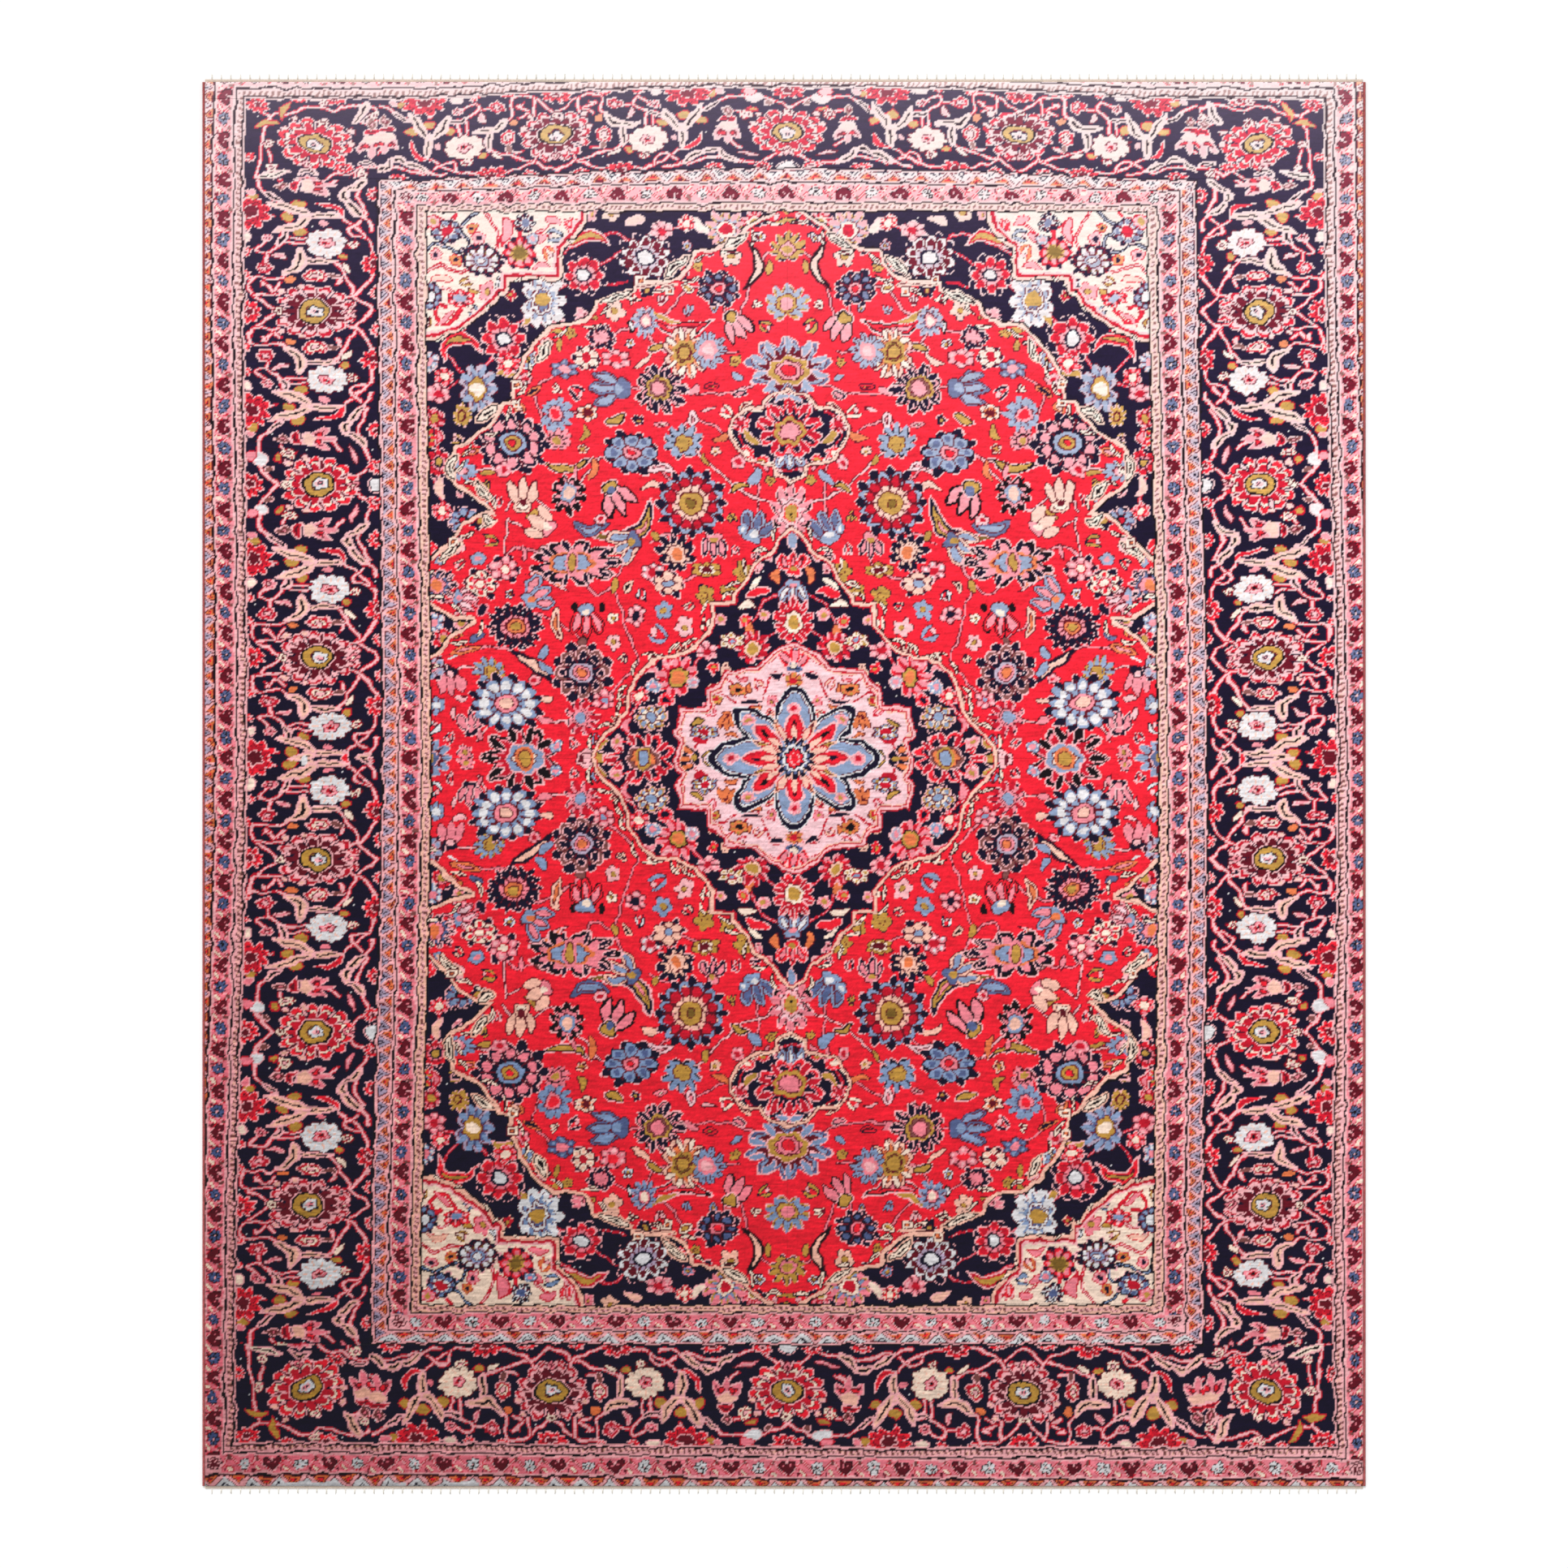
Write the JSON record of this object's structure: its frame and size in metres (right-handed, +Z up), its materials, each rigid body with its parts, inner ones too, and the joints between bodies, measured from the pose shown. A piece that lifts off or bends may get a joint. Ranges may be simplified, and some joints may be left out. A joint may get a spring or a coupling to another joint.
{
  "type": "area rug",
  "caption": "Rectangular hand-knotted wool area rug with a lobed medallion, pendants, corner pieces and a floral border between guard bands.",
  "frame": {"origin": "middle of the underside, on the floor", "axes": "+X across the rug, +Y along its length towards the end with the narrow bands, +Z up from the floor through the pile"},
  "size_m": [2.44, 2.98, 0.01],
  "materials": {
    "cotton_foundation": "undyed cotton warps and wefts under the knots",
    "cotton_end_band": "flat-woven undyed cotton",
    "cotton_fringe": "worn undyed cotton warp ends",
    "overcast_wool": "red wool wrapped round the side cords",
    "wool_red": "vivid red cut wool pile with soft colour bands",
    "wool_navy": "dark navy cut wool pile with many-coloured flowers",
    "wool_pink": "pale pink cut wool pile",
    "wool_light_blue": "light blue cut wool pile",
    "wool_ivory": "ivory and light apricot cut wool pile",
    "wool_guard": "pink and ivory cut wool pile with small flowers and triangles"
  },
  "bodies": {
    "root": {"foundation": "cotton_foundation", "selvedge_left": "overcast_wool", "selvedge_right": "overcast_wool", "kilim_end_near": "cotton_end_band", "kilim_end_far": "cotton_end_band", "fringe_near": "cotton_fringe", "fringe_far": "cotton_fringe", "field": "wool_red", "medallion": "wool_navy", "medallion_panel": "wool_pink", "medallion_star": "wool_light_blue", "pendant_near": "wool_navy", "pendant_far": "wool_navy", "spandrel_near_left": "wool_navy", "spandrel_near_right": "wool_navy", "spandrel_far_left": "wool_navy", "spandrel_far_right": "wool_navy", "corner_near_left": "wool_ivory", "corner_near_right": "wool_ivory", "corner_far_left": "wool_ivory", "corner_far_right": "wool_ivory", "inner_guard_left": "wool_guard", "inner_guard_right": "wool_guard", "inner_guard_near": "wool_guard", "inner_guard_far": "wool_guard", "main_border_left": "wool_navy", "main_border_right": "wool_navy", "main_border_near": "wool_navy", "main_border_far": "wool_navy", "outer_guard_left": "wool_guard", "outer_guard_right": "wool_guard", "outer_guard_near": "wool_guard", "outer_guard_far": "wool_guard"}
  },
  "joints": []
}
